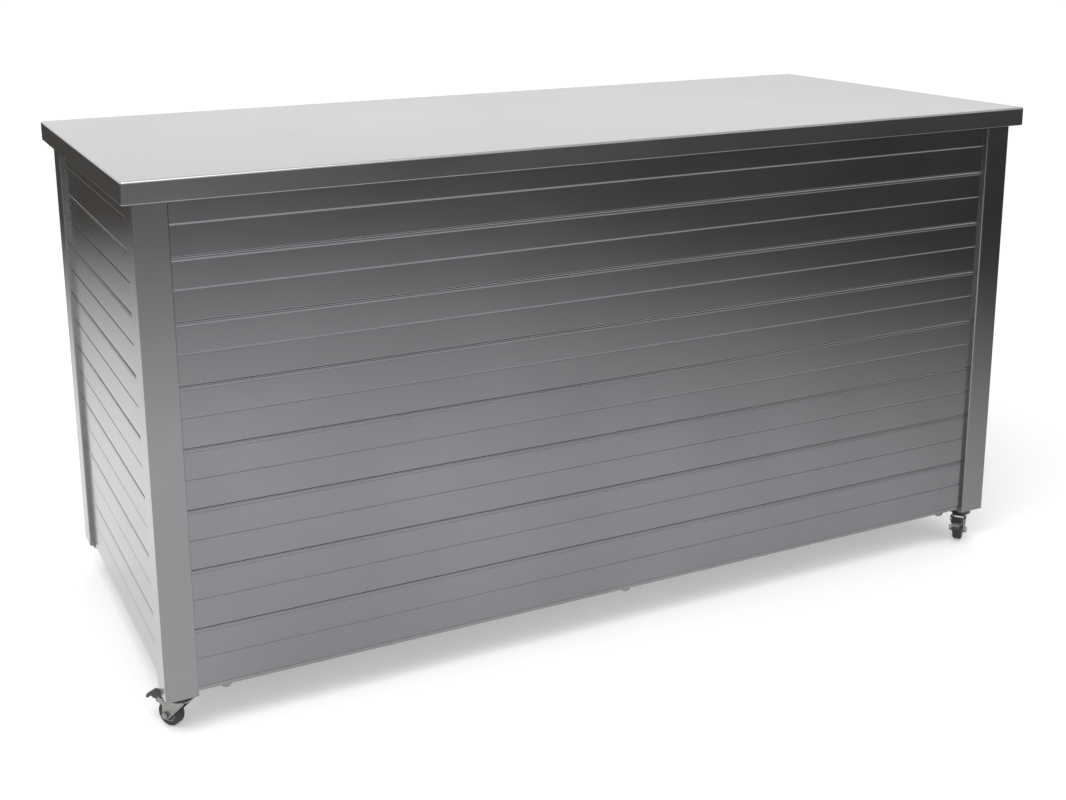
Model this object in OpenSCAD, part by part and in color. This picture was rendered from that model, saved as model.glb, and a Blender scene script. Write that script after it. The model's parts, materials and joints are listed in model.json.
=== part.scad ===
// Deck storage box on casters: four square corner posts, walls of grooved sheet-metal planks
// held between rails, a folded lid on rear hinges with two gas struts.
// +Z up, +X to the right seen from the front, front at -Y. Origin: centre of the footprint on
// the ground.

/* [Lid] */
// Length of the lid, left to right
lid_l = 1600; // [1500:10:1700]
// Width of the lid, front to back
lid_w = 692; // [640:2:740]
// Height of the lid's top above the ground
lid_top = 833; // [829:0.5:836]
// Height of the lid's folded edge
apron_h = 32.5; // [30:0.5:40]
// Sheet thickness of the lid
lid_sheet = 0.9; // [0.8:0.1:1.2]
// Width of the hem folded inward at the bottom of the lid's edge
hem_w = 8; // [4:1:9]
// How far the lid reaches past the posts at each end
overhang_x = 16; // [14:1:20]
// How far the lid reaches past the posts at the front and the back
overhang_y = 17.3; // [17:0.1:20]

/* [Posts and walls] */
// Height of the posts' feet above the ground
foot_z = 59; // [59:0.5:60]
// Height of the posts' tops and of the top rails
rim_z = 826; // [824:0.5:827]
// Side of a square corner post
post_w = 49.5; // [48:0.5:52]
// Wall thickness of a post
post_wall = 1.5; // [1:0.1:2]
// Outside bend radius of a post's edges
post_bend = 2; // [1:0.5:3]
// Thickness of the plate closing a post's foot
foot_plate = 4; // [3:0.5:5]
// How far the wall planks stand back behind the posts' faces
recess = 7; // [5:0.5:9]
// Number of planks in each wall
plank_count = 8; // [8:1:8]
// Height of one plank with its joint
plank_pitch = 92.75; // [92:0.05:92.8]
// Height of the lowest plank's lower edge above the posts' feet
plank_lift = 10.3; // [10:0.1:12]
// Depth of a plank's folded edges
plank_d = 15; // [12:0.5:16]
// Sheet thickness of a plank
plank_sheet = 0.7; // [0.6:0.1:1]
// Gap between two planks
plank_gap = 0.8; // [0.6:0.1:1.2]

/* [Lid movement] */
// Distance of the hinge pin behind the middle of the box
hinge_y = 337; // [336:0.5:338]
// Height of the hinge pin
hinge_z = 806; // [805:0.5:807]
// Distance of the struts' centre plane from the middle of the box
strut_x = 725; // [720:1:728]
// Strut's lower pivot, distance behind the middle
strut_low_y = 220; // [216:1:222]
// Strut's lower pivot, height
strut_low_z = 570; // [560:1:580]
// Strut's upper pivot with the lid closed, distance behind the middle
strut_high_y = 209; // [206:1:211]
// Strut's upper pivot with the lid closed, height
strut_high_z = 806; // [804:1:808]

/* [Casters] */
// Distance of a caster's swivel axis from the outer faces of its post
caster_in = 27.2; // [26:0.1:28]
// Diameter of a wheel
wheel_d = 40; // [38:1:40]
// Width of a wheel's tread
wheel_w = 16; // [14:0.5:16.4]
// Distance of the axle behind the swivel axis
trail = 20; // [19:0.5:21]
// Direction in which the front left caster trails
turn_front_left = 124; // [0:1:359]
// Direction in which the front right caster trails
turn_front_right = 219; // [0:1:359]
// Direction in which the back left caster trails
turn_back_left = 15; // [0:1:359]
// Direction in which the back right caster trails
turn_back_right = 165; // [0:1:359]

/* [Hidden] */
$fn = 48;

// Outer faces of the posts, and of the planks between them
post_face_x = lid_l / 2 - overhang_x;
post_face_y = lid_w / 2 - overhang_y;
wall_x = post_face_x - recess;
wall_y = post_face_y - recess;
// Lengths of the walls between the posts
bay_x = 2 * (post_face_x - post_w);
bay_y = 2 * (post_face_y - post_w);
plank_z = foot_z + plank_lift;
plank_top = plank_z + plank_count * plank_pitch;
lid_under = lid_top - lid_sheet;

// Rails
rail_sheet = 2;
rail_d = 30;
sill_d = 42;
sill_lip = 6;
sill_z = plank_z - sill_lip;
floor_z = 90;
floor_sheet = 1;
floor_under = floor_z - floor_sheet;

// Battens behind the planks
batten_w = 40;
batten_t = 3;
batten_foot = 14.5;
long_battens = [-690, 0, 690];
short_battens = [-strut_low_y, strut_low_y];
batten_z = sill_z + rail_sheet;
bolt_r = 9;
bolt_h = 8;
bolt_in = 10;

// Bearers under the floor
bearer_x = [-450, 0, 450];
bearer_w = 60;
bearer_sheet = 1.5;

// Seal on the rim
seal_w = 12;
seal_h = 5.6;
seal_in = 9;

// Hinges
hinge_x = [-550, 0, 550];
leaf_w = 60;
leaf_t = 2.5;
knuckle_r = 4.5;
pin_r = 2.5;
running_gap = 0.08;
lid_knuckle = 23.4;
body_knuckle = 18;
flange_d = 20;

// Gas struts
eye_r = 7;
eye_w = 12;
stud_r = 4;
tube_r = 9;
bore_r = 7.8;
tube_start = 12;
tube_end = 187;
gland = 12;
rod_r = 4;
piston_h = 10;
open_pivot_gap = 0.5;
strut_rise = strut_high_z - strut_low_z;
strut_run = strut_high_y - strut_low_y;
strut_length = sqrt(strut_rise * strut_rise + strut_run * strut_run);
strut_lean = atan2(strut_rise, strut_run) - 90;

// Casters, each in its own frame: swivel axis on Z, the wheel trailing along +X
axle_z = wheel_d / 2;
leg_in = 10;
leg_t = 2;
crown_z = 47.5;
crown_t = 2;
crown_r = 19;
race_r = 14;
race_z = 53.5;
race_gap = 0.4;
plate_t = 2;
plate_w = 42;
plate_z = foot_z - plate_t;
plate_screw = 16;
screw_r = 2.4;
kingpin_r = 3.95;
axle_r = 3;
axle_end = 4;
tyre_t = 7;
lever_x = 23;
lever_z = 42;
lever_in = leg_in + leg_t + 0.4;
lever_t = 1.8;
brake_pin_r = 2;
pedal_w = 14;
hood_w = 20;
pedal_x = 52;
pedal_z = 33.5;
pedal_r = 12;
pedal_t = 3.5;

metal = "#8f9194";
zinc = "#b9bbbd";
dark = "#2b2b2e";

// ---- placing ----

// Puts its children on the wall whose outward side faces the given way; the wall's face is
// then at y = 0 and the inside of the box is towards +Y.
module wall(turn, distance) {
    rotate([0, 0, turn])
        translate([0, -distance, 0])
            children();
}

// A straight bar along X with a section given as [depth behind the face, height] points
module wall_bar(section, length) {
    rotate([90, 0, 90])
        linear_extrude(height = length, center = true)
            polygon(section);
}

// Puts its children at a caster's swivel axis and turns them to the way it trails
module at_caster(side_x, side_y, turn) {
    translate([side_x * (post_face_x - caster_in), side_y * (post_face_y - caster_in), 0])
        rotate([0, 0, turn])
            children();
}

module at_all_casters() {
    at_caster(-1, -1, 0) children();
    at_caster(1, -1, 0) children();
    at_caster(-1, 1, 0) children();
    at_caster(1, 1, 0) children();
}

// A rod across the caster, along its wheel's axis
module cross_rod(r, length) {
    rotate([90, 0, 0])
        cylinder(r = r, h = length, center = true);
}

// ---- body ----

// Upright bar with a square section and rounded edges, its corner at the origin
module square_bar(w, r, h) {
    translate([r, 0, 0])
        cube([w - 2 * r, w, h]);
    translate([0, r, 0])
        cube([w, w - 2 * r, h]);
    for (x = [r, w - r], y = [r, w - r])
        translate([x, y, 0])
            cylinder(r = r, h = h);
}

module post(side_x, side_y) {
    corner_x = side_x > 0 ? post_face_x - post_w : -post_face_x;
    corner_y = side_y > 0 ? post_face_y - post_w : -post_face_y;
    inner_w = post_w - 2 * post_wall;
    color(metal)
        difference() {
            translate([corner_x, corner_y, foot_z])
                square_bar(post_w, post_bend, rim_z - foot_z);
            translate([corner_x + post_wall, corner_y + post_wall, foot_z + foot_plate])
                cube([inner_w, inner_w, rim_z - foot_z]);
            at_caster(side_x, side_y, 0) {
                translate([0, 0, foot_z - 1])
                    cylinder(r = 9, h = foot_plate + 2);
                plate_screws(screw_r + 0.1, foot_z - 1, foot_plate + 2);
            }
        }
}

// The four screw positions of a caster plate, as cylinders
module plate_screws(r, z, h) {
    for (x = [-plate_screw, plate_screw], y = [-plate_screw, plate_screw])
        translate([x, y, z])
            cylinder(r = r, h = h);
}

// Section of one plank: a folded channel whose face has a shallow V groove at half height and
// a fine line near the top, with bevelled edges where two planks meet
function plank_section(t, d, h) =
    let (fold = 1.4, bevel = 0.8, groove = 1.7, dip = 0.9, fine = 0.5)
    let (mid = h / 2, bead = h - 5, lip = 8)
    [
        [d, lip], [d, 0], [bevel, 0], [0, fold],
        [0, mid - groove], [dip, mid], [0, mid + groove],
        [0, bead - 1], [fine, bead], [0, bead + 1],
        [0, h - fold], [bevel, h], [d, h], [d, h - lip],
        [d - t, h - lip], [d - t, h - t], [bevel + t / 2, h - t], [t, h - fold - t / 2],
        [t, bead + 1], [t + fine, bead], [t, bead - 1],
        [t, mid + groove], [t + dip, mid], [t, mid - groove],
        [t, fold + t / 2], [bevel + t / 2, t], [d - t, t], [d - t, lip]
    ];

module planks(length) {
    section = plank_section(plank_sheet, plank_d, plank_pitch - plank_gap);
    color(metal)
        for (i = [0 : plank_count - 1])
            translate([0, 0, plank_z + i * plank_pitch])
                wall_bar(section, length);
}

// Channel on top of the planks: its front edge covers the top plank, its top carries the seal
module top_rail(length) {
    color(metal)
        wall_bar([
            [0.5, plank_top], [0.5, rim_z], [rail_d, rim_z], [rail_d, rim_z - 26],
            [rail_d - rail_sheet, rim_z - 26], [rail_d - rail_sheet, rim_z - rail_sheet],
            [0.5 + rail_sheet, rim_z - rail_sheet], [0.5 + rail_sheet, plank_top]
        ], length);
}

// Sill under the planks, with an inner edge that carries the floor
module bottom_rail(length) {
    color(metal)
        wall_bar([
            [0.5, sill_z], [sill_d, sill_z], [sill_d, floor_under],
            [sill_d - rail_sheet, floor_under], [sill_d - rail_sheet, sill_z + rail_sheet],
            [0.5 + rail_sheet, sill_z + rail_sheet], [0.5 + rail_sheet, plank_z],
            [0.5, plank_z]
        ], length);
}

// Upright strap behind the planks, its foot turned outward onto the sill
module batten(x) {
    translate([x - batten_w / 2, plank_d, batten_z])
        cube([batten_w, batten_t, plank_top - batten_z]);
    translate([x - batten_w / 2, plank_d - batten_foot + batten_t, batten_z])
        cube([batten_w, batten_foot, batten_t]);
}

module wall_battens() {
    color(zinc) {
        for (turn = [0, 180])
            wall(turn, wall_y)
                for (x = long_battens)
                    batten(x);
        for (turn = [-90, 90])
            wall(turn, wall_x)
                for (x = short_battens)
                    batten(x);
    }
}

// Domed bolts that hold the long walls' battens down through the sill
module batten_bolts() {
    color(metal)
        for (turn = [0, 180])
            wall(turn, wall_y)
                for (x = long_battens)
                    translate([x, bolt_in, sill_z])
                        rotate_extrude()
                            polygon([
                                [0, -bolt_h], [bolt_r * 0.45, -bolt_h],
                                [bolt_r * 0.75, -bolt_h * 0.8], [bolt_r * 0.93, -bolt_h * 0.5],
                                [bolt_r, -bolt_h * 0.25], [bolt_r, 0], [0, 0]
                            ]);
}

module floor_panel() {
    length = 2 * (wall_x - plank_d - batten_t - 1);
    width = 2 * (wall_y - plank_d - batten_t - 1);
    notch_x = bay_x / 2 - 1;
    notch_y = bay_y / 2 - 1;
    color(metal)
        difference() {
            translate([-length / 2, -width / 2, floor_under])
                cube([length, width, floor_sheet]);
            for (x = [-1, 1], y = [-1, 1])
                translate([x * (notch_x + 50), y * (notch_y + 50), floor_z])
                    cube([100, 100, 10], center = true);
            for (x = [-600 : 300 : 600], y = [-200, 200])
                translate([x, y, floor_under - 1])
                    cylinder(r = 4, h = floor_sheet + 2);
        }
}

// Hat-shaped beams from sill to sill under the floor
module floor_bearers() {
    inner_y = wall_y - sill_d;
    low = sill_z + 4;
    web = bearer_w / 2 - 12;
    t = bearer_sheet;
    color(zinc)
        for (x = bearer_x)
            translate([x, 0, 0])
                rotate([90, 0, 0])
                    linear_extrude(height = 2 * inner_y, center = true)
                        polygon([
                            [-bearer_w / 2, floor_under], [-bearer_w / 2, floor_under - t],
                            [-web, floor_under - t], [-web, low], [web, low],
                            [web, floor_under - t], [bearer_w / 2, floor_under - t],
                            [bearer_w / 2, floor_under], [web - t, floor_under],
                            [web - t, low + t], [-web + t, low + t], [-web + t, floor_under]
                        ]);
}

module lid_seal() {
    outer_x = 2 * (wall_x - seal_in);
    outer_y = 2 * (wall_y - seal_in);
    color(dark)
        difference() {
            translate([-outer_x / 2, -outer_y / 2, rim_z])
                cube([outer_x, outer_y, seal_h]);
            translate([-outer_x / 2 + seal_w, -outer_y / 2 + seal_w, rim_z - 1])
                cube([outer_x - 2 * seal_w, outer_y - 2 * seal_w, seal_h + 2]);
        }
}

// ---- hinges ----

module at_hinges() {
    for (x = hinge_x)
        translate([x, 0, 0])
            children();
}

module knuckle(x, length) {
    translate([x, hinge_y, hinge_z])
        rotate([0, 90, 0])
            difference() {
                cylinder(r = knuckle_r, h = length);
                translate([0, 0, -1])
                    cylinder(r = pin_r + running_gap, h = length + 2);
            }
}

// Leaf on the back wall with an arm out to the two outer knuckles
module hinge_body_leaves() {
    arm_x = leaf_w / 2 - body_knuckle;
    color(zinc)
        at_hinges() {
            translate([-leaf_w / 2, wall_y, hinge_z - 46])
                cube([leaf_w, leaf_t, 44]);
            for (x = [-leaf_w / 2, arm_x]) {
                knuckle(x, body_knuckle);
                translate([x, 0, 0])
                    rotate([90, 0, 90])
                        linear_extrude(height = body_knuckle)
                            polygon([
                                [wall_y, hinge_z - 6], [hinge_y - knuckle_r + 0.6, hinge_z - 2],
                                [hinge_y - knuckle_r + 0.6, hinge_z + 1.5],
                                [wall_y, hinge_z - 2]
                            ]);
            }
        }
}

module hinge_pins() {
    color(zinc)
        at_hinges()
            translate([-leaf_w / 2 - 2, hinge_y, hinge_z])
                rotate([0, 90, 0])
                    cylinder(r = pin_r, h = leaf_w + 4);
}

module hinge_body_screws() {
    color(zinc)
        at_hinges()
            for (x = [-20, 0, 20])
                translate([x, wall_y + leaf_t, hinge_z - 28])
                    rotate([-90, 0, 0])
                        cylinder(r1 = 4, r2 = 2.5, h = 2);
}

// Leaf from the middle knuckle up to a flange under the lid
module hinge_lid_leaves() {
    color(zinc)
        at_hinges() {
            knuckle(-lid_knuckle / 2, lid_knuckle);
            translate([-lid_knuckle / 2, hinge_y - leaf_t / 2, hinge_z + knuckle_r - 0.6])
                cube([lid_knuckle, leaf_t, lid_under - hinge_z - knuckle_r + 0.6]);
            translate([-leaf_w / 2, hinge_y + leaf_t / 2 - flange_d, lid_under - leaf_t])
                cube([leaf_w, flange_d, leaf_t]);
        }
}

module hinge_lid_screws() {
    color(zinc)
        at_hinges()
            for (x = [-20, 20])
                translate([x, hinge_y - 10, lid_under - leaf_t - 1.6])
                    cylinder(r1 = 2.5, r2 = 4, h = 1.6);
}

// ---- lid ----

module lid_skin() {
    inner_l = lid_l - 2 * lid_sheet;
    inner_w = lid_w - 2 * lid_sheet;
    low = lid_top - apron_h;
    color(metal) {
        difference() {
            translate([-lid_l / 2, -lid_w / 2, low])
                cube([lid_l, lid_w, apron_h]);
            translate([-inner_l / 2, -inner_w / 2, low - 1])
                cube([inner_l, inner_w, apron_h - lid_sheet + 1]);
        }
        translate([-lid_l / 2 + lid_sheet / 2, -lid_w / 2 + lid_sheet / 2, low])
            cube([lid_l - lid_sheet, hem_w, lid_sheet]);
        for (x = [-lid_l / 2 + lid_sheet / 2, lid_l / 2 - lid_sheet / 2 - hem_w])
            translate([x, -lid_w / 2 + lid_sheet / 2, low])
                cube([hem_w, lid_w - lid_sheet, lid_sheet]);
    }
}

// Hat-shaped stiffeners across the lid's underside
module lid_stiffeners() {
    half_w = 35;
    web = 20;
    drop = 18;
    t = 1.2;
    low = lid_under - drop;
    color(zinc)
        for (x = [-480, 0, 480])
            translate([x, 0, 0])
                rotate([90, 0, 0])
                    linear_extrude(height = 550, center = true)
                        polygon([
                            [-half_w, lid_under], [-half_w, lid_under - t],
                            [-web, lid_under - t], [-web, low], [web, low],
                            [web, lid_under - t], [half_w, lid_under - t],
                            [half_w, lid_under], [web - t, lid_under], [web - t, low + t],
                            [-web + t, low + t], [-web + t, lid_under]
                        ]);
}

// ---- gas struts; the modules draw the right one and are mirrored for the left ----

module strut_line() {
    translate([strut_x, strut_low_y, strut_low_z])
        rotate([strut_lean, 0, 0])
            children();
}

module strut_eye(s, bore) {
    translate([0, 0, s])
        rotate([0, 90, 0])
            difference() {
                cylinder(r = eye_r, h = eye_w, center = true);
                cylinder(r = bore, h = eye_w + 2, center = true);
            }
}

module strut_tube() {
    color(dark)
        strut_line() {
            strut_eye(0, stud_r + running_gap);
            difference() {
                union() {
                    translate([0, 0, eye_r - 1])
                        cylinder(r = 5, h = tube_start - eye_r + 2);
                    translate([0, 0, tube_start])
                        cylinder(r = tube_r, h = tube_end - tube_start);
                }
                translate([0, 0, tube_start + 4])
                    cylinder(r = bore_r, h = tube_end - gland - tube_start - 4);
                translate([0, 0, tube_end - gland - 1])
                    cylinder(r = rod_r + running_gap, h = gland + 2);
            }
        }
}

module strut_rod() {
    piston_s = tube_start + 10;
    color(zinc)
        strut_line() {
            strut_eye(strut_length, stud_r - 0.5);
            translate([0, 0, piston_s])
                cylinder(r = bore_r - running_gap, h = piston_h);
            translate([0, 0, piston_s])
                cylinder(r = rod_r, h = strut_length - eye_r + 1 - piston_s);
        }
}

module on_both_sides() {
    children();
    mirror([1, 0, 0])
        children();
}

// Plate on the side wall's rear batten with the stud of the strut's lower eye
module strut_body_brackets() {
    plate_x = wall_x - plank_d - batten_t;
    color(zinc)
        on_both_sides() {
            translate([plate_x - 3, strut_low_y - 18, strut_low_z - 28])
                cube([3, 36, 56]);
            translate([strut_x - eye_w / 2 - 2, strut_low_y, strut_low_z])
                rotate([0, 90, 0])
                    cylinder(r = stud_r, h = plate_x - 3 - strut_x + eye_w / 2 + 2.5);
        }
}

// Angle under the lid beside the strut's upper eye
module strut_lid_brackets() {
    face_x = strut_x + eye_w / 2 + open_pivot_gap;
    low = strut_high_z - 8;
    color(zinc)
        on_both_sides() {
            translate([face_x, strut_high_y - 16, low])
                cube([3, 32, lid_under - low]);
            translate([face_x - 32, strut_high_y - 16, lid_under - 2.5])
                cube([34, 32, 2.5]);
        }
}

// ---- casters ----

// Fixed plate with the upper ball race
module caster_plates() {
    color(zinc)
        at_all_casters()
            difference() {
                union() {
                    translate([-plate_w / 2, -plate_w / 2, plate_z])
                        cube([plate_w, plate_w, plate_t]);
                    translate([0, 0, race_z])
                        cylinder(r = race_r, h = plate_z - race_z + 0.5);
                }
                translate([0, 0, race_z - 1])
                    cylinder(r = kingpin_r + 0.05, h = foot_z - race_z + 2);
                plate_screws(screw_r + 0.1, plate_z - 1, plate_t + 2);
            }
}

module caster_kingpins() {
    head_h = 2.5;
    color(zinc)
        at_all_casters() {
            translate([0, 0, crown_z - 0.3 - head_h])
                cylinder(r = 6.5, h = head_h);
            translate([0, 0, crown_z - 1])
                cylinder(r = kingpin_r, h = foot_z - crown_z + 2);
            translate([0, 0, foot_z])
                cylinder(r = 7, h = 2);
        }
}

module caster_screws() {
    color(zinc)
        at_all_casters() {
            plate_screws(screw_r, plate_z - 1, 12);
            plate_screws(3.6, plate_z - 2, 2);
        }
}

// Side plate of the fork, seen from the side: a wedge down to a round end at the axle
module fork_leg_shape() {
    end_r = 7;
    slope = end_r * sin(45);
    back_x = trail + end_r;
    front_x = trail - slope - (crown_z + 1 - axle_z + slope);
    difference() {
        union() {
            translate([trail, axle_z])
                circle(r = end_r);
            polygon([
                [trail - slope, axle_z - slope], [trail, axle_z], [back_x, axle_z],
                [back_x, crown_z + 1], [front_x, crown_z + 1]
            ]);
        }
        translate([trail, axle_z])
            circle(r = axle_r + 0.05);
        translate([lever_x, lever_z])
            circle(r = brake_pin_r + 0.05);
    }
}

module caster_fork(side_x, side_y, turn) {
    leg_out = leg_in + leg_t;
    web_x = -15.5;
    color(zinc)
        at_caster(side_x, side_y, turn) {
            difference() {
                union() {
                    translate([0, 0, crown_z])
                        cylinder(r = crown_r, h = crown_t);
                    translate([0, -leg_out, crown_z])
                        cube([trail + 7, 2 * leg_out, crown_t]);
                    translate([0, 0, crown_z + crown_t - 0.5])
                        cylinder(r = race_r, h = race_z - race_gap - crown_z - crown_t + 0.5);
                }
                translate([0, 0, crown_z - 1])
                    cylinder(r = kingpin_r + 0.1, h = 10);
            }
            for (y = [-leg_out, leg_in])
                translate([0, y + leg_t, 0])
                    rotate([90, 0, 0])
                        linear_extrude(height = leg_t)
                            fork_leg_shape();
            translate([0, leg_out, 0])
                rotate([90, 0, 0])
                    linear_extrude(height = 2 * leg_out)
                        polygon([
                            [web_x, crown_z + 0.5], [web_x + 2.4, crown_z + 0.5],
                            [web_x + 9.4, crown_z - 7], [web_x + 7, crown_z - 7]
                        ]);
        }
}

// Axle bolt with a hexagon head and a nut
module caster_axle(side_x, side_y, turn) {
    half = leg_in + leg_t;
    color(zinc)
        at_caster(side_x, side_y, turn)
            translate([trail, 0, axle_z]) {
                cross_rod(axle_r, 2 * (half + axle_end + 0.5));
                for (y = [-half - axle_end / 2, half + axle_end / 2])
                    translate([0, y, 0])
                        rotate([90, 0, 0])
                            cylinder(r = 5.6, h = axle_end, center = true, $fn = 6);
            }
}

module caster_tyre(side_x, side_y, turn) {
    r = wheel_d / 2;
    half = wheel_w / 2;
    color(dark)
        at_caster(side_x, side_y, turn)
            translate([trail, 0, axle_z])
                rotate([90, 0, 0])
                    rotate_extrude($fn = 72)
                        polygon([
                            [r - tyre_t, -half], [r - 2.6, -half], [r - 0.9, -half + 1.4],
                            [r, -half + 3.6], [r, half - 3.6], [r - 0.9, half - 1.4],
                            [r - 2.6, half], [r - tyre_t, half]
                        ]);
}

module caster_hub(side_x, side_y, turn) {
    rim_r = wheel_d / 2 - tyre_t;
    color("#77787c")
        at_caster(side_x, side_y, turn)
            translate([trail, 0, axle_z])
                rotate([90, 0, 0])
                    rotate_extrude()
                        polygon([
                            [axle_r + 0.06, -leg_in + 0.4], [6, -leg_in + 0.4], [6, -3.5],
                            [10.5, -3.5], [10.5, -wheel_w / 2 + 0.6], [rim_r, -wheel_w / 2 + 0.6],
                            [rim_r, wheel_w / 2 - 0.6], [10.5, wheel_w / 2 - 0.6], [10.5, 3.5],
                            [6, 3.5], [6, leg_in - 0.4], [axle_r + 0.06, leg_in - 0.4]
                        ]);
}

// A plate upright along the caster, centred on the given place across it
module along(y, width) {
    translate([0, y + width / 2, 0])
        rotate([90, 0, 0])
            linear_extrude(height = width)
                children();
}

// Stirrup over the back of the wheel: two arms, a cross web, two cheeks and the brake shoe
module brake_lever(side_x, side_y, turn) {
    out = lever_in + lever_t;
    cheek_y = 8;
    color(zinc)
        at_caster(side_x, side_y, turn) {
            for (y = [-out + lever_t / 2, out - lever_t / 2])
                along(y, lever_t)
                    difference() {
                        polygon([[18.5, 38.5], [18.5, 46], [33, 46], [33, 40], [28, 36]]);
                        translate([lever_x, lever_z])
                            circle(r = brake_pin_r);
                    }
            along(0, 2 * out)
                polygon([[31, 41], [31, 46], [33, 46], [33, 41]]);
            for (y = [-cheek_y, cheek_y])
                along(y, lever_t)
                    polygon([
                        [32, 41], [32, 42.8], [33, 42.8], [43.5, 40], [42.5, 36.5], [39.5, 33.5],
                        [36, 37.2], [33, 39.2]
                    ]);
            along(0, 2 * cheek_y)
                polygon([[36, 37.4], [36, 41], [38, 41], [38, 37.4]]);
        }
}

module brake_pin(side_x, side_y, turn) {
    color(zinc)
        at_caster(side_x, side_y, turn)
            translate([lever_x, 0, lever_z])
                cross_rod(brake_pin_r - 0.05, 2 * (lever_in + lever_t) + 1);
}

// Points along a circular arc in the pedal's side view
function pedal_arc(r, from, to) =
    [for (i = [0 : 10]) let (a = from + (to - from) * i / 10)
        [pedal_x + r * cos(a), pedal_z + r * sin(a)]];

// Arched tread with a wider hood over the lever's end
module brake_pedal(side_x, side_y, turn) {
    heel = 135;
    toe = 5;
    color(dark)
        at_caster(side_x, side_y, turn) {
            along(0, pedal_w)
                polygon(concat(pedal_arc(pedal_r, heel, toe),
                               pedal_arc(pedal_r - pedal_t, toe, heel)));
            along(0, hood_w)
                polygon([
                    [33, 42.8], [33, 46.2], [46, 46.2], [50, 45.6], [52, 45.1], [52, 42.4],
                    [48.5, 41.4], [45.6, 39.6], [43.5, 40]
                ]);
        }
}

post(-1, -1);  // post_front_left
post(1, -1);  // post_front_right
post(-1, 1);  // post_back_left
post(1, 1);  // post_back_right
wall(0, wall_y) planks(bay_x);  // front_planks
wall(180, wall_y) planks(bay_x);  // back_planks
wall(-90, wall_x) planks(bay_y);  // left_planks
wall(90, wall_x) planks(bay_y);  // right_planks
wall(0, wall_y) top_rail(bay_x);  // top_rail_front
wall(180, wall_y) top_rail(bay_x);  // top_rail_back
wall(-90, wall_x) top_rail(bay_y);  // top_rail_left
wall(90, wall_x) top_rail(bay_y);  // top_rail_right
wall(0, wall_y) bottom_rail(bay_x);  // bottom_rail_front
wall(180, wall_y) bottom_rail(bay_x);  // bottom_rail_back
wall(-90, wall_x) bottom_rail(bay_y);  // bottom_rail_left
wall(90, wall_x) bottom_rail(bay_y);  // bottom_rail_right
wall_battens();
batten_bolts();
floor_panel();
floor_bearers();
lid_seal();
hinge_body_leaves();
hinge_pins();
hinge_body_screws();
strut_body_brackets();
caster_plates();
caster_kingpins();
caster_screws();
lid_skin();
lid_stiffeners();
hinge_lid_leaves();
hinge_lid_screws();
strut_lid_brackets();
strut_tube();  // strut_tube_right
strut_rod();  // strut_rod_right
mirror([1, 0, 0]) strut_tube();  // strut_tube_left
mirror([1, 0, 0]) strut_rod();  // strut_rod_left
caster_fork(-1, -1, turn_front_left);  // caster_fork_front_left
caster_axle(-1, -1, turn_front_left);  // caster_axle_front_left
caster_tyre(-1, -1, turn_front_left);  // caster_tyre_front_left
caster_hub(-1, -1, turn_front_left);  // caster_hub_front_left
brake_lever(-1, -1, turn_front_left);  // brake_lever_front_left
brake_pin(-1, -1, turn_front_left);  // brake_pin_front_left
brake_pedal(-1, -1, turn_front_left);  // brake_pedal_front_left
caster_fork(1, -1, turn_front_right);  // caster_fork_front_right
caster_axle(1, -1, turn_front_right);  // caster_axle_front_right
caster_tyre(1, -1, turn_front_right);  // caster_tyre_front_right
caster_hub(1, -1, turn_front_right);  // caster_hub_front_right
brake_lever(1, -1, turn_front_right);  // brake_lever_front_right
brake_pin(1, -1, turn_front_right);  // brake_pin_front_right
brake_pedal(1, -1, turn_front_right);  // brake_pedal_front_right
caster_fork(-1, 1, turn_back_left);  // caster_fork_back_left
caster_axle(-1, 1, turn_back_left);  // caster_axle_back_left
caster_tyre(-1, 1, turn_back_left);  // caster_tyre_back_left
caster_hub(-1, 1, turn_back_left);  // caster_hub_back_left
caster_fork(1, 1, turn_back_right);  // caster_fork_back_right
caster_axle(1, 1, turn_back_right);  // caster_axle_back_right
caster_tyre(1, 1, turn_back_right);  // caster_tyre_back_right
caster_hub(1, 1, turn_back_right);  // caster_hub_back_right
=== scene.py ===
"""Looks of a deck storage box on casters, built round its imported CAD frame."""
import json
import math

import bmesh
import bpy
from mathutils import Matrix, Vector


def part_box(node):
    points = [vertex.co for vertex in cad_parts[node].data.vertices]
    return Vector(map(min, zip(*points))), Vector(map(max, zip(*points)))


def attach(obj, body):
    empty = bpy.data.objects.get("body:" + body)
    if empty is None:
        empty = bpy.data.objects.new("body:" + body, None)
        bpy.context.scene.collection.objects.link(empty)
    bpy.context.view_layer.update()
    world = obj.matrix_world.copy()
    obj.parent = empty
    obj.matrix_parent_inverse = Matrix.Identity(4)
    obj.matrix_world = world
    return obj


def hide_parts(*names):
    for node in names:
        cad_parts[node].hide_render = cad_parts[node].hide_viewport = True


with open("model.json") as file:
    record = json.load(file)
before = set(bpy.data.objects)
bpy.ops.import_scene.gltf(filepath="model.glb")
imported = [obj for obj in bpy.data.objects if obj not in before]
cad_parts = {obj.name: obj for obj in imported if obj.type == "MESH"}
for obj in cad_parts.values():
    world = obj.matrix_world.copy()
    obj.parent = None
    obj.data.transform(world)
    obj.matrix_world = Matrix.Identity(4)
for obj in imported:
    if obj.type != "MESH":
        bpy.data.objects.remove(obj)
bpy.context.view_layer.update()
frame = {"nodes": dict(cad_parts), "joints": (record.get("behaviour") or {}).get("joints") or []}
nodes = frame["nodes"]
joints = {j["name"]: j for j in frame["joints"]}
scene = bpy.context.scene

# ---------------------------------------------------------------- materials


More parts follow.
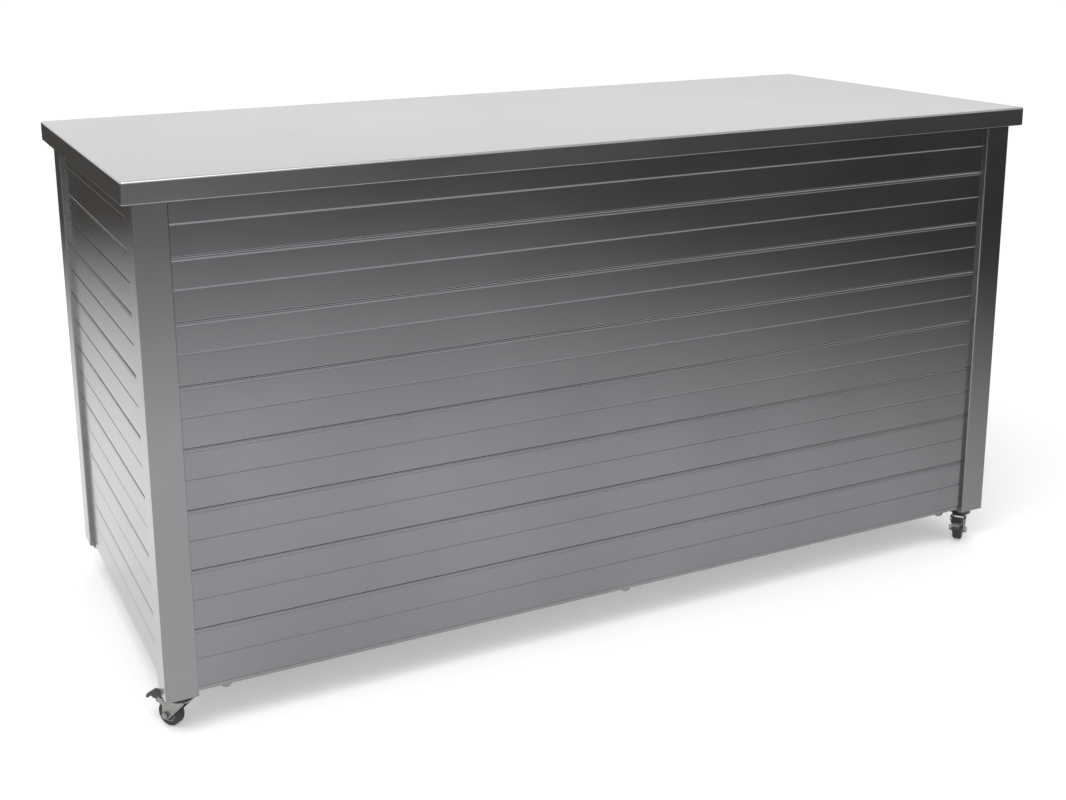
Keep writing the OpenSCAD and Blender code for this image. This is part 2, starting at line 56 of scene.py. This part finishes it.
class Graph:
    """A node tree with short calls for the patterns that the materials share."""

    def __init__(self, name):
        self.mat = bpy.data.materials.new(name)
        self.mat.use_nodes = True
        self.tree = self.mat.node_tree
        self.tree.nodes.clear()
        self.out = self.tree.nodes.new("ShaderNodeOutputMaterial")
        self.shader = self.tree.nodes.new("ShaderNodeBsdfPrincipled")
        self.link(self.shader.outputs[0], self.out.inputs[0])
        self.coords = self.tree.nodes.new("ShaderNodeTexCoord").outputs["Object"]

    def link(self, a, b):
        self.tree.links.new(a, b)

    def set(self, **values):
        for key, value in values.items():
            self.shader.inputs[key.replace("_", " ")].default_value = value

    def stretched(self, scale, turn=(0, 0, 0)):
        node = self.tree.nodes.new("ShaderNodeMapping")
        node.inputs["Scale"].default_value = scale
        node.inputs["Rotation"].default_value = turn
        self.link(self.coords, node.inputs["Vector"])
        return node.outputs[0]

    def noise(self, scale, detail=3, rough=0.5, vector=None):
        node = self.tree.nodes.new("ShaderNodeTexNoise")
        node.inputs["Scale"].default_value = scale
        node.inputs["Detail"].default_value = detail
        node.inputs["Roughness"].default_value = rough
        self.link(vector or self.coords, node.inputs["Vector"])
        return node.outputs["Fac"]

    def cells(self, scale):
        """A random colour for each cell."""
        node = self.tree.nodes.new("ShaderNodeTexVoronoi")
        node.inputs["Scale"].default_value = scale
        self.link(self.coords, node.inputs["Vector"])
        return node.outputs["Color"]

    def ranged(self, value, low, high, out_low, out_high):
        node = self.tree.nodes.new("ShaderNodeMapRange")
        for key, number in zip(
            ("From Min", "From Max", "To Min", "To Max"), (low, high, out_low, out_high)
        ):
            node.inputs[key].default_value = number
        self.link(value, node.inputs["Value"])
        return node.outputs[0]

    def ramp(self, value, stops):
        node = self.tree.nodes.new("ShaderNodeValToRGB")
        elements = node.color_ramp.elements
        while len(elements) < len(stops):
            elements.new(0.5)
        for element, (at, colour) in zip(elements, stops):
            element.position = at
            element.color = (*colour, 1)
        self.link(value, node.inputs[0])
        return node.outputs[0]

    def sum(self, a, b, share):
        """a plus that share of b."""
        node = self.tree.nodes.new("ShaderNodeMath")
        node.operation = "MULTIPLY_ADD"
        self.link(b, node.inputs[0])
        node.inputs[1].default_value = share
        self.link(a, node.inputs[2])
        return node.outputs[0]

    def bump(self, value, strength, distance, after=None):
        node = self.tree.nodes.new("ShaderNodeBump")
        node.inputs["Strength"].default_value = strength
        node.inputs["Distance"].default_value = distance
        self.link(value, node.inputs["Height"])
        if after is not None:
            self.link(after, node.inputs["Normal"])
        return node.outputs[0]

    def colour(self, socket):
        self.link(socket, self.shader.inputs["Base Color"])

    def rough(self, socket):
        self.link(socket, self.shader.inputs["Roughness"])

    def normal(self, socket):
        self.link(socket, self.shader.inputs["Normal"])


def grey(value, tint=(1, 1, 1)):
    return tuple(value * t for t in tint)


def metallic_coat(name, tone, rough, tint, clear=0.9):
    """Silver-grey metallic powder coat on sheet: fine flake, orange peel, cloudy gloss."""
    g = Graph(name)
    g.set(Metallic=1.0, Coat_Weight=clear, Coat_Roughness=0.13, Coat_IOR=1.5)
    cloud = g.noise(2.6, 4, 0.55)
    flake = g.noise(420, 1, 0.5)
    g.colour(
        g.ramp(
            g.sum(cloud, flake, 0.03),
            [(0.38, grey(tone * 0.92, tint)), (0.78, grey(tone * 1.08, tint))],
        )
    )
    smear = g.noise(3.0, 3, 0.6, g.stretched((0.6, 0.6, 1.6)))
    g.rough(g.ranged(g.sum(smear, flake, 0.02), 0.3, 0.8, rough - 0.035, rough + 0.045))
    wave = g.bump(g.noise(2.2, 1, 0.4), 0.10, 0.006)
    g.normal(g.bump(g.noise(60, 1, 0.4), 0.012, 0.0002, wave))
    return g.mat


def galvanised(name):
    """Hot-dip galvanised sheet with its spangle."""
    g = Graph(name)
    g.set(Metallic=1.0)
    split = g.tree.nodes.new("ShaderNodeSeparateColor")
    g.link(g.cells(95), split.inputs[0])
    blend = g.sum(split.outputs[0], g.noise(9, 3), 0.6)
    g.colour(
        g.ramp(
            blend,
            [(0.1, (0.36, 0.37, 0.385)), (0.7, (0.50, 0.515, 0.53)), (1.0, (0.60, 0.61, 0.62))],
        )
    )
    g.rough(g.ranged(split.outputs[1], 0, 1, 0.34, 0.52))
    g.normal(g.bump(split.outputs[0], 0.06, 0.0005, g.bump(g.noise(260, 2), 0.06, 0.0003)))
    return g.mat


def zinc(name):
    """Bright zinc plate: faint bluish and straw patches, small handling marks."""
    g = Graph(name)
    g.set(Metallic=1.0)
    patch = g.noise(38, 3, 0.6)
    g.colour(
        g.ramp(
            patch,
            [(0.30, (0.29, 0.285, 0.28)), (0.52, (0.34, 0.33, 0.32)), (0.72, (0.37, 0.345, 0.325))],
        )
    )
    marks = g.noise(620, 3, 0.7, g.stretched((1, 1, 0.35), (0.4, 0.2, 0.7)))
    g.rough(g.ranged(g.sum(marks, patch, 0.5), 0.4, 1.1, 0.24, 0.44))
    g.normal(g.bump(marks, 0.10, 0.0002))
    return g.mat


def rubber(name, tone, dust):
    """Matt rubber with a grain and pale dust."""
    g = Graph(name)
    dusty = g.noise(130, 5, 0.65)
    g.colour(g.ramp(dusty, [(0.35, tone), (0.62, tuple(t * 1.25 for t in tone)), (0.85, dust)]))
    g.rough(g.ranged(dusty, 0.3, 0.8, 0.55, 0.85))
    g.normal(g.bump(g.noise(1500, 3, 0.6), 0.25, 0.0003))
    g.set(Specular_IOR_Level=0.35)
    return g.mat


def black_paint(name):
    """Satin black paint on the gas struts."""
    g = Graph(name)
    g.set(Coat_Weight=0.25)
    mottle = g.noise(60, 4, 0.6)
    g.colour(g.ramp(mottle, [(0.3, (0.012, 0.012, 0.013)), (0.75, (0.03, 0.03, 0.032))]))
    g.rough(g.ranged(mottle, 0.3, 0.75, 0.26, 0.42))
    g.normal(g.bump(g.noise(700, 2), 0.08, 0.0002))
    return g.mat


def chrome(name):
    """Ground and polished rod with fine marks round it."""
    g = Graph(name)
    g.set(Metallic=1.0)
    lines = g.noise(900, 2, 0.6, g.stretched((0.05, 0.05, 1.0)))
    g.colour(g.ramp(lines, [(0.3, (0.62, 0.62, 0.63)), (0.7, (0.78, 0.78, 0.79))]))
    g.rough(g.ranged(lines, 0.3, 0.7, 0.07, 0.2))
    g.normal(g.bump(lines, 0.05, 0.0001))
    return g.mat


def moulded(name, dark, light, rough):
    """Moulded plastic with a fine spark-eroded grain."""
    g = Graph(name)
    tone = g.noise(85, 4, 0.6)
    g.colour(g.ramp(tone, [(0.32, dark), (0.72, light)]))
    g.rough(g.ranged(tone, 0.3, 0.75, rough - 0.06, rough + 0.08))
    g.normal(g.bump(g.noise(1300, 2, 0.5), 0.16, 0.0002))
    return g.mat


# The posts and rails, the planks and the lid share one coat in three tones. The planks' darker tone
# is painted shade and the lid's lighter tone is painted light, standing in for how light falls on
# each.
finish = {
    "coated_steel": metallic_coat("coated_steel", 0.262, 0.25, (0.985, 0.995, 1.02)),
    "coated_plank": metallic_coat("coated_plank", 0.235, 0.25, (0.975, 1.0, 1.05)),
    "coated_lid": metallic_coat("coated_lid", 0.325, 0.25, (0.98, 0.99, 1.03), 0.74),
    "galvanised_steel": galvanised("galvanised_steel"),
    "zinc_plate": zinc("zinc_plate"),
    "seal_rubber": rubber("seal_rubber", (0.022, 0.022, 0.024), (0.06, 0.06, 0.06)),
    "strut_black": black_paint("strut_black"),
    "polished_rod": chrome("polished_rod"),
    "wheel_tread": rubber("wheel_tread", (0.032, 0.032, 0.037), (0.08, 0.078, 0.08)),
    "wheel_hub": moulded("wheel_hub", (0.12, 0.13, 0.16), (0.19, 0.20, 0.235), 0.36),
    "pedal_black": moulded("pedal_black", (0.022, 0.022, 0.024), (0.05, 0.05, 0.053), 0.34),
}

# ---------------------------------------------------------------- CAD nodes


def slot_of(node):
    """The finish of a CAD node by its name."""
    if node.endswith("_planks"):
        return "coated_plank"
    if node.startswith(("post_", "bottom_rail_", "top_rail_", "batten_bolts")):
        return "coated_steel"
    if node == "lid_skin":
        return "coated_lid"
    if node in ("wall_battens", "floor_panel", "floor_bearers", "lid_stiffeners"):
        return "galvanised_steel"
    if node == "lid_seal":
        return "seal_rubber"
    if node.startswith("strut_tube"):
        return "strut_black"
    if node.startswith("strut_rod"):
        return "polished_rod"
    if node.startswith("caster_tyre"):
        return "wheel_tread"
    if node.startswith("caster_hub"):
        return "wheel_hub"
    if node.startswith("brake_pedal"):
        return "pedal_black"
    return "zinc_plate"


def paint(obj, slot):
    obj.data.materials.clear()
    obj.data.materials.append(finish[slot])


def soften(obj, width, angle=35, segments=2):
    """Rounds an object's edges without touching its mesh."""
    weld = obj.modifiers.new("weld", "WELD")
    weld.merge_threshold = 0.00001
    bevel = obj.modifiers.new("bevel", "BEVEL")
    bevel.width = width
    bevel.segments = segments
    bevel.limit_method = "ANGLE"
    bevel.angle_limit = math.radians(angle)
    normals = obj.modifiers.new("normals", "WEIGHTED_NORMAL")
    normals.weight = 60


# The radius that each finish's edges are rounded to, in metres
EDGE = {
    "coated_steel": 0.00035,
    "coated_plank": 0.0003,
    "galvanised_steel": 0.0003,
    "zinc_plate": 0.0002,
    "seal_rubber": 0.0016,
    "strut_black": 0.0006,
    "polished_rod": 0.0002,
    "wheel_hub": 0.0004,
    "pedal_black": 0.0012,
}
for name, obj in nodes.items():
    slot = slot_of(name)
    paint(obj, slot)
    if slot in EDGE:
        soften(obj, EDGE[slot], segments=3 if slot in ("seal_rubber", "pedal_black") else 2)

# ---------------------------------------------------------------- pieces


def piece(name, mesh_maker, slot, body, smooth=True):
    """A new visual piece, its mesh made by mesh_maker(bm) in the row frame."""
    bm = bmesh.new()
    mesh_maker(bm)
    bmesh.ops.recalc_face_normals(bm, faces=bm.faces)
    mesh = bpy.data.meshes.new(name)
    bm.to_mesh(mesh)
    bm.free()
    for polygon in mesh.polygons:
        polygon.use_smooth = smooth
    obj = bpy.data.objects.new(name, mesh)
    scene.collection.objects.link(obj)
    mesh.materials.append(finish[slot])
    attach(obj, body)
    return obj


def loop_faces(bm, rings, closed_rings=True, closed_ends=False):
    """Quads between successive rings of vertices, or triangles where two corners are one."""
    count = len(rings)
    for i in range(count if closed_ends else count - 1):
        a, b = rings[i], rings[(i + 1) % count]
        size = len(a)
        for k in range(size if closed_rings else size - 1):
            corners = [a[k], a[(k + 1) % size], b[(k + 1) % size], b[k]]
            kept = []
            for v in corners:
                if v not in kept:
                    kept.append(v)
            if len(kept) > 2:
                bm.faces.new(kept)


def arc(cx, cy, radius, start, end, steps):
    """Points along an arc, its angles in degrees."""
    return [
        (
            cx + radius * math.cos(math.radians(start + (end - start) * i / steps)),
            cy + radius * math.sin(math.radians(start + (end - start) * i / steps)),
        )
        for i in range(steps + 1)
    ]


def folded_lid(bm):
    """The lid as one folded sheet: bent top edges, round corners, rolled lower edge and hem."""
    lo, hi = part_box("lid_skin")
    sheet = 0.0009
    bend, roll, corner = 0.0036, 0.0017, 0.0044  # radii: top edge, lower edge, upright corners
    hem, hem_nose, hem_middle = 0.0085, 0.0003, 0.0006
    same_place, same_height = 0.000002, 0.000001
    top, low = hi.z, lo.z
    # Profiles run from the top face, down the outside and back up the inside: (depth, height)
    outer = arc(bend, top - bend, bend, 90, 180, 5) + arc(roll, low + roll, roll, 180, 270, 4)
    hemmed = [
        (hem, low),
        (hem + hem_nose, low + hem_middle),
        (hem, low + sheet),
        (roll + 0.0004, low + sheet),
    ]
    raw = [(roll, low), (roll, low + 0.0004), (roll, low + 0.0008), (roll, low + sheet)]
    inner = [(sheet, low + sheet + 0.0006)] + arc(bend, top - bend, bend - sheet, 180, 90, 4)
    profiles = {"hem": outer + hemmed + inner, "raw": outer + raw + inner}
    # Each corner's place, first angle, and the edge before it and after it
    corners = [
        (hi.x, lo.y, -90, "hem", "hem"),
        (hi.x, hi.y, 0, "hem", "raw"),
        (lo.x, hi.y, 90, "raw", "hem"),
        (lo.x, lo.y, 180, "hem", "hem"),
    ]
    steps = 6
    rings = []
    for x, y, start, first, second in corners:
        side_x, side_y = (1 if x > 0 else -1), (1 if y > 0 else -1)
        centre = Vector((x - side_x * corner, y - side_y * corner))
        mitre = {}
        for k in range(steps + 1):
            a = math.radians(start + 90 * k / steps)
            ring = []
            for i, (depth, z) in enumerate(profiles[first if k < steps else second]):
                if depth <= corner:
                    p = centre + (corner - depth) * Vector((math.cos(a), math.sin(a)))
                    ring.append(bm.verts.new((p.x, p.y, z)))
                else:
                    key = (i, round(depth, 6), round(z, 6))
                    if key not in mitre:
                        p = centre - (depth - corner) * Vector((side_x, side_y))
                        mitre[key] = bm.verts.new((p.x, p.y, z))
                    ring.append(mitre[key])
            rings.append(ring)
    loop_faces(bm, rings, closed_rings=False, closed_ends=True)
    bmesh.ops.remove_doubles(bm, verts=bm.verts, dist=same_place)
    bm.verts.ensure_lookup_table()
    for z in (top, top - sheet):
        rim = [
            e
            for e in bm.edges
            if e.is_boundary and all(abs(v.co.z - z) < same_height for v in e.verts)
        ]
        bmesh.ops.contextual_create(bm, geom=rim)


lid = piece("lid_shell", folded_lid, "coated_lid", "lid")
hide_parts("lid_skin")
lid_normals = lid.modifiers.new("normals", "WEIGHTED_NORMAL")
lid_normals.weight = 80


def turned(bm, profile, centre, axis, steps):
    """A closed profile of (radius, place along the axis) points turned about the axis."""
    turn = Vector((0, 0, 1)).rotation_difference(Vector(axis)).to_matrix()
    rings = []
    for k in range(steps):
        a = 2 * math.pi * k / steps
        rings.append(
            [
                bm.verts.new(
                    Vector(centre) + turn @ Vector((r * math.cos(a), r * math.sin(a), s))
                )
                for r, s in profile
            ]
        )
    loop_faces(bm, rings, closed_rings=True, closed_ends=True)


def tyre_profile():
    """Rounded tread with a mould line, between the rim and the ground."""
    r, half, rim, shoulder = 0.020, 0.008, 0.0131, 0.0032
    tread = [(r, 0.0), (r - 0.00015, 0.0004), (r - 0.00008, 0.0026)]
    side = [
        (r - shoulder + (b - (half - shoulder)), a - (r - shoulder) + (half - shoulder))
        for a, b in arc(r - shoulder, half - shoulder, shoulder, 90, 0, 6)
    ]
    bead = [(rim + 0.0016, half - 0.0002), (rim + 0.0012, half), (rim, half)]
    half_profile = tread + side + bead
    mirrored = [(a, -b) for a, b in reversed(half_profile[1:])]
    return half_profile + mirrored


def make_wheel(corner):
    """A tyre in place of the CAD one, and the ribs on both sides of the hub."""
    joint = joints["wheel_spin_" + corner]
    centre, axis = Vector(joint["pos_m"]), Vector(joint["axis"]).normalized()
    tyre_steps = 96
    rib_count, stagger = 6, 15
    rib_radius, rib_out, rib_size, rib_edge = 0.0082, 0.0049, (0.0050, 0.0013, 0.0030), 0.0003

    def tyre(bm):
        turned(bm, tyre_profile(), centre, axis, tyre_steps)

    def ribs(bm):
        basis = Vector((0, 0, 1)).rotation_difference(axis).to_matrix().to_4x4()
        for side in (-1, 1):
            for k in range(rib_count):
                turn = math.radians(360 / rib_count * k + stagger * side)
                place = (
                    Matrix.Translation(centre)
                    @ basis
                    @ Matrix.Rotation(turn, 4, "Z")
                    @ Matrix.Translation((rib_radius, 0, side * rib_out))
                    @ Matrix.Diagonal((*rib_size, 1))
                )
                made = bmesh.ops.create_cube(bm, size=1, matrix=place)["verts"]
                edges = {e for v in made for e in v.link_edges}
                bmesh.ops.bevel(
                    bm, geom=list(edges), offset=rib_edge, segments=2, affect="EDGES", profile=0.5
                )

    shown = piece("tyre_" + corner, tyre, "wheel_tread", "wheel_" + corner)
    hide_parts("caster_tyre_" + corner)
    piece("hub_ribs_" + corner, ribs, "wheel_hub", "wheel_" + corner, smooth=False)


for corner in ("front_left", "front_right", "back_left", "back_right"):
    make_wheel(corner)


def dome(bm, centre, axis, radius, height):
    """A rivet's head: a low dome with a small rolled edge."""
    profile = []
    for i in range(1, 6):
        a = math.radians(90 - 15 * i)
        profile.append((radius * 0.94 * math.cos(a), height * (0.25 + 0.75 * math.sin(a))))
    profile += [(radius, height * 0.12), (radius, -0.0002)]
    turn = Vector((0, 0, 1)).rotation_difference(Vector(axis)).to_matrix()
    top = bm.verts.new(Vector(centre) + turn @ Vector((0, 0, height)))
    steps = 14
    angles = [t * math.tau / steps for t in range(steps)]
    rings = [
        [
            bm.verts.new(Vector(centre) + turn @ Vector((r * math.cos(a), r * math.sin(a), s)))
            for a in angles
        ]
        for r, s in profile
    ]
    for t in range(steps):
        bm.faces.new([top, rings[0][t], rings[0][(t + 1) % steps]])
    loop_faces(bm, rings)
    bm.faces.new(rings[-1])


def rivets(bm):
    """Blind rivets that hold each plank to the battens, seen inside the box."""
    planks, plank_gap, batten_sheet, long_x = 8, 0.0008, 0.003, 0.690
    first, apart = 0.020, 0.050  # above the plank's lower edge, and from rivet to rivet
    radius, height, clearance = 0.0036, 0.0014, 0.005
    _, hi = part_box("wall_battens")
    planks_lo, planks_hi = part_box("front_planks")
    pitch = (planks_hi.z - planks_lo.z + plank_gap) / planks
    inner_x = hi.x - batten_sheet
    inner_y = hi.y - batten_sheet
    bracket_lo, bracket_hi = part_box("strut_body_brackets")
    short_y = (bracket_lo.y + bracket_hi.y) / 2
    for i in range(planks):
        z = planks_lo.z + pitch * i + first
        for side in (-1, 1):
            for x in (-long_x, 0.0, long_x):
                for dz in (0.0, apart):
                    dome(bm, (x, side * inner_y, z + dz), (0, -side, 0), radius, height)
            for y in (-short_y, short_y):
                for dz in (0.0, apart):
                    if y > 0 and bracket_lo.z - clearance < z + dz < bracket_hi.z + clearance:
                        continue  # the strut's bracket covers this one
                    dome(bm, (side * inner_x, y, z + dz), (-side, 0, 0), radius, height)


piece("plank_rivets", rivets, "zinc_plate", "box")

# ---------------------------------------------------------------- camera


def look_matrix(place, azimuth, elevation, roll):
    """The camera's axes from where it looks: azimuth from +Y towards +X, elevation down."""
    a, e, t = (math.radians(v) for v in (azimuth, elevation, roll))
    ahead = Vector((math.sin(a) * math.cos(e), math.cos(a) * math.cos(e), -math.sin(e)))
    right = ahead.cross(Vector((0, 0, 1))).normalized()
    down = ahead.cross(right)
    turned_right = math.cos(t) * right - math.sin(t) * down
    turned_down = math.sin(t) * right + math.cos(t) * down
    rows = Matrix((turned_right, -turned_down, -ahead)).transposed().to_4x4()
    return Matrix.Translation(place) @ rows


camera_data = bpy.data.cameras.new("camera")
camera = bpy.data.objects.new("camera", camera_data)
scene.collection.objects.link(camera)
camera_place = (-1.1449, -2.2262, 1.1564)
camera_azimuth, camera_elevation, camera_roll = 25.973, 13.268, -0.483
camera.matrix_world = look_matrix(camera_place, camera_azimuth, camera_elevation, camera_roll)
camera_data.sensor_width = 36
camera_data.lens = 47.954
camera_data.shift_x = 0.0212
camera_data.shift_y = -0.1303
camera_data.clip_start = 0.05
camera_data.clip_end = 200
camera_data.dof.use_dof = False
scene.camera = camera

# ---------------------------------------------------------------- studio

scene.view_settings.view_transform = "Standard"
scene.view_settings.look = "None"


def stage_mesh(name, bm, material):
    mesh = bpy.data.meshes.new(name)
    bm.to_mesh(mesh)
    bm.free()
    obj = bpy.data.objects.new(name, mesh)
    mesh.materials.append(material)
    scene.collection.objects.link(obj)
    return obj


def pale_floor():
    """Pale paper that gives off a little light, so that shadows on it stay faint."""
    g = Graph("floor_paper")
    grain = g.noise(3, 2)
    g.colour(g.ramp(grain, [(0.2, (0.70, 0.70, 0.70)), (0.8, (0.72, 0.72, 0.72))]))
    g.set(Roughness=0.9, Emission_Color=(1.0, 1.0, 1.0, 1.0), Emission_Strength=0.30)
    bm = bmesh.new()
    bmesh.ops.create_grid(bm, x_segments=1, y_segments=1, size=60)
    stage_mesh("floor", bm, g.mat)


def dark_surround():
    """The unlit far part of the studio, which only reflections see: it deepens away from
    the box and rises a little above the horizon."""
    middle = Vector((-1.03, -0.55))
    squeeze = 1.12  # the bright middle is this much narrower along X
    outline = ((0.01, 0.004), (2.5, 0.004), (5.5, 0.004), (5.8, 0.05), (6.0, 0.3), (6.0, 1.5))
    steps = 64
    mat = bpy.data.materials.new("dark_surround")
    mat.use_nodes = True
    tree = mat.node_tree
    tree.nodes.clear()
    make = tree.nodes.new

    def fade(start, end, low, high):
        node = make("ShaderNodeMapRange")
        node.interpolation_type = "SMOOTHSTEP"
        node.inputs["From Min"].default_value = start
        node.inputs["From Max"].default_value = end
        node.inputs["To Min"].default_value = low
        node.inputs["To Max"].default_value = high
        return node

    out = make("ShaderNodeOutputMaterial")
    mix = make("ShaderNodeMixShader")
    clear = make("ShaderNodeBsdfTransparent")
    dark = make("ShaderNodeEmission")
    dark.inputs["Color"].default_value = (0.064, 0.058, 0.052, 1)
    place = make("ShaderNodeNewGeometry")
    split = make("ShaderNodeSeparateXYZ")
    flat = make("ShaderNodeVectorMath")
    flat.operation = "MULTIPLY"
    flat.inputs[1].default_value = (squeeze, 1, 0)
    away = make("ShaderNodeVectorMath")
    away.operation = "DISTANCE"
    away.inputs[1].default_value = (middle.x * squeeze, middle.y, 0)
    near = fade(1.1, 4.4, 0.15, 1)
    high = fade(0.5, 1.5, 1, 0)
    both = make("ShaderNodeMath")
    both.operation = "MULTIPLY"
    link = tree.links.new
    link(place.outputs["Position"], split.inputs[0])
    link(place.outputs["Position"], flat.inputs[0])
    link(flat.outputs[0], away.inputs[0])
    link(away.outputs["Value"], near.inputs["Value"])
    link(split.outputs["Z"], high.inputs["Value"])
    link(near.outputs[0], both.inputs[0])
    link(high.outputs[0], both.inputs[1])
    link(both.outputs[0], mix.inputs[0])
    link(clear.outputs[0], mix.inputs[1])
    link(dark.outputs[0], mix.inputs[2])
    link(mix.outputs[0], out.inputs[0])
    bm = bmesh.new()
    angles = [math.tau * k / steps for k in range(steps)]
    rings = [
        [
            bm.verts.new((middle.x + r * math.cos(a), middle.y + r * math.sin(a), z))
            for a in angles
        ]
        for r, z in outline
    ]
    loop_faces(bm, rings)
    obj = stage_mesh("surround", bm, mat)
    obj.visible_camera = False
    obj.visible_diffuse = False
    obj.visible_shadow = False
    obj.visible_transmission = False


def soft_light(name, place, aim, size, power):
    """A rectangular lamp at place, turned towards aim."""
    data = bpy.data.lights.new(name, "AREA")
    data.shape = "RECTANGLE"
    data.size, data.size_y = size
    data.energy = power
    obj = bpy.data.objects.new(name, data)
    obj.location = place
    obj.rotation_euler = (Vector(aim) - Vector(place)).to_track_quat("-Z", "Y").to_euler()
    scene.collection.objects.link(obj)
    return obj


pale_floor()
dark_surround()
# Seen only in reflections: the bright line along the lid's bent edge
highlight = soft_light("highlight", (-0.25, -1.1, 3.2), (-0.6, -0.3, 0.8), (1.6, 1.3), 20)
highlight.visible_diffuse = False
soft_light("overhead", (-1.4, -1.1, 3.4), (0, 0, 0.4), (2.4, 1.8), 60)

world = bpy.data.worlds.new("studio")
world.use_nodes = True
world.node_tree.nodes["Background"].inputs["Color"].default_value = (1.0, 1.0, 1.0, 1)
world.node_tree.nodes["Background"].inputs["Strength"].default_value = 1.0
scene.world = world

# ---------------------------------------------------------------- end

bpy.context.view_layer.update()
